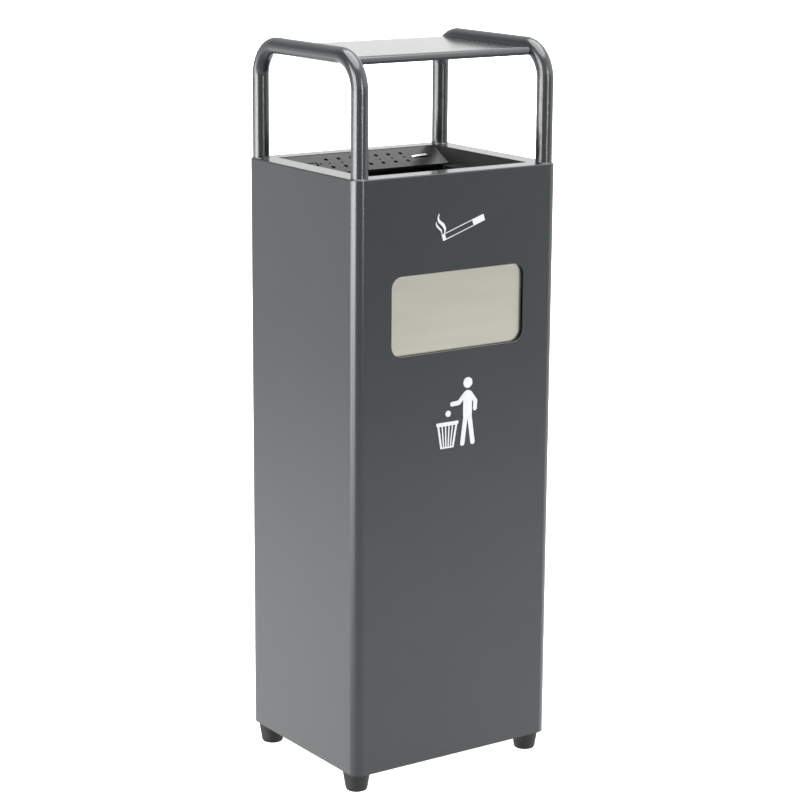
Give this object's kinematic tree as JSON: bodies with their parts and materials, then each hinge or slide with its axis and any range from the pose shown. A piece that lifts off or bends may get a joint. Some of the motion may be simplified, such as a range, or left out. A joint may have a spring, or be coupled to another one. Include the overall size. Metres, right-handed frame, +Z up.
{
  "type": "ashtray bin",
  "caption": "Free-standing square-section litter bin on feet, with a push flap, a lift-out ash pan and stubbing plate under a small roof on tube loops, an inner liner and a rear door.",
  "frame": {"origin": "on the floor under the middle of the body, at the middle of the base of the bounding box", "axes": "+Z up, -Y towards the front face with the litter flap, +X to the right as seen from the front"},
  "size_m": [0.3, 0.2512, 0.9257],
  "materials": {
    "anthracite": "anthracite metallic powder coat, glossy with fine orange peel",
    "black_powder": "satin black powder coat",
    "stainless": "fine brushed stainless steel",
    "galvanised": "hot-dip galvanised sheet with a soft spangle",
    "zinc_plated": "bright zinc plating",
    "black_plastic": "moulded black polypropylene",
    "white_nylon": "natural nylon",
    "black_rubber": "matt black rubber"
  },
  "bodies": {
    "body": {"base_plate": "anthracite", "body_shell": "anthracite", "canopy_roof": "anthracite", "door_frame": "anthracite", "flap_bracket_left": "zinc_plated", "flap_bracket_right": "zinc_plated", "flap_buffer_left": "black_rubber", "flap_buffer_right": "black_rubber", "flap_rod": "zinc_plated", "foot_front_left": "black_plastic", "foot_front_right": "black_plastic", "foot_rear_left": "black_plastic", "foot_rear_right": "black_plastic", "foot_screw_front_left": "zinc_plated", "foot_screw_front_right": "zinc_plated", "foot_screw_rear_left": "zinc_plated", "foot_screw_rear_right": "zinc_plated", "pan_rail_left": "zinc_plated", "pan_rail_right": "zinc_plated", "pivot_pin_lower": "zinc_plated", "pivot_pin_upper": "zinc_plated", "rim_frame": "anthracite", "rod_cap_left": "black_plastic", "rod_cap_right": "black_plastic", "roof_screw_front_left": "zinc_plated", "roof_screw_front_right": "zinc_plated", "roof_screw_rear_left": "zinc_plated", "roof_screw_rear_right": "zinc_plated", "socket_screw_front_left": "zinc_plated", "socket_screw_front_right": "zinc_plated", "socket_screw_rear_left": "zinc_plated", "socket_screw_rear_right": "zinc_plated", "tube_loop_left": "anthracite", "tube_loop_right": "anthracite", "tube_socket_front_left": "black_powder", "tube_socket_front_right": "black_powder", "tube_socket_rear_left": "black_powder", "tube_socket_rear_right": "black_powder"},
    "flap": {"flap_plate": "stainless"},
    "door": {"rear_door": "anthracite", "pivot_bush_lower": "white_nylon", "pivot_bush_upper": "white_nylon", "lock_barrel": "zinc_plated", "lock_nut": "zinc_plated"},
    "lock": {"lock_spindle": "zinc_plated", "lock_cam": "zinc_plated", "cam_screw": "zinc_plated"},
    "ash_pan": {"ash_pan": "black_powder"},
    "stubbing_plate": {"stubbing_plate": "black_powder"},
    "liner": {"liner_bucket": "galvanised", "liner_ear_left": "galvanised", "liner_ear_right": "galvanised"},
    "liner_handle": {"liner_handle": "zinc_plated"}
  },
  "joints": [
    {"name": "flap_hinge", "type": "hinge", "parent": "body", "child": "flap", "pos_m": [0, -0.1199, 0.663], "axis": [1, 0, 0], "range_deg": [0, 65]},
    {"name": "door_hinge", "type": "hinge", "parent": "body", "child": "door", "pos_m": [0.107, 0.119, 0.383], "axis": [0, 0, -1], "range_deg": [0, 95]},
    {"name": "lock_turn", "type": "hinge", "parent": "door", "child": "lock", "pos_m": [-0.096, 0.125, 0.383], "axis": [0, -1, 0], "range_deg": [0, 90]},
    {"name": "ash_pan_lift", "type": "slide", "parent": "body", "child": "ash_pan", "axis": [0, 0, 1], "range_m": [0, 0.085]},
    {"name": "stubbing_plate_lift", "type": "slide", "parent": "ash_pan", "child": "stubbing_plate", "axis": [0, 0, 1], "range_m": [0, 0.04]},
    {"name": "liner_lift", "type": "slide", "parent": "body", "child": "liner", "axis": [0, 0, 1], "range_m": [0, 0.035]},
    {"name": "liner_handle_hinge", "type": "hinge", "parent": "liner", "child": "liner_handle", "pos_m": [0, 0, 0.523], "axis": [1, 0, 0], "range_deg": [0, 180]}
  ]
}
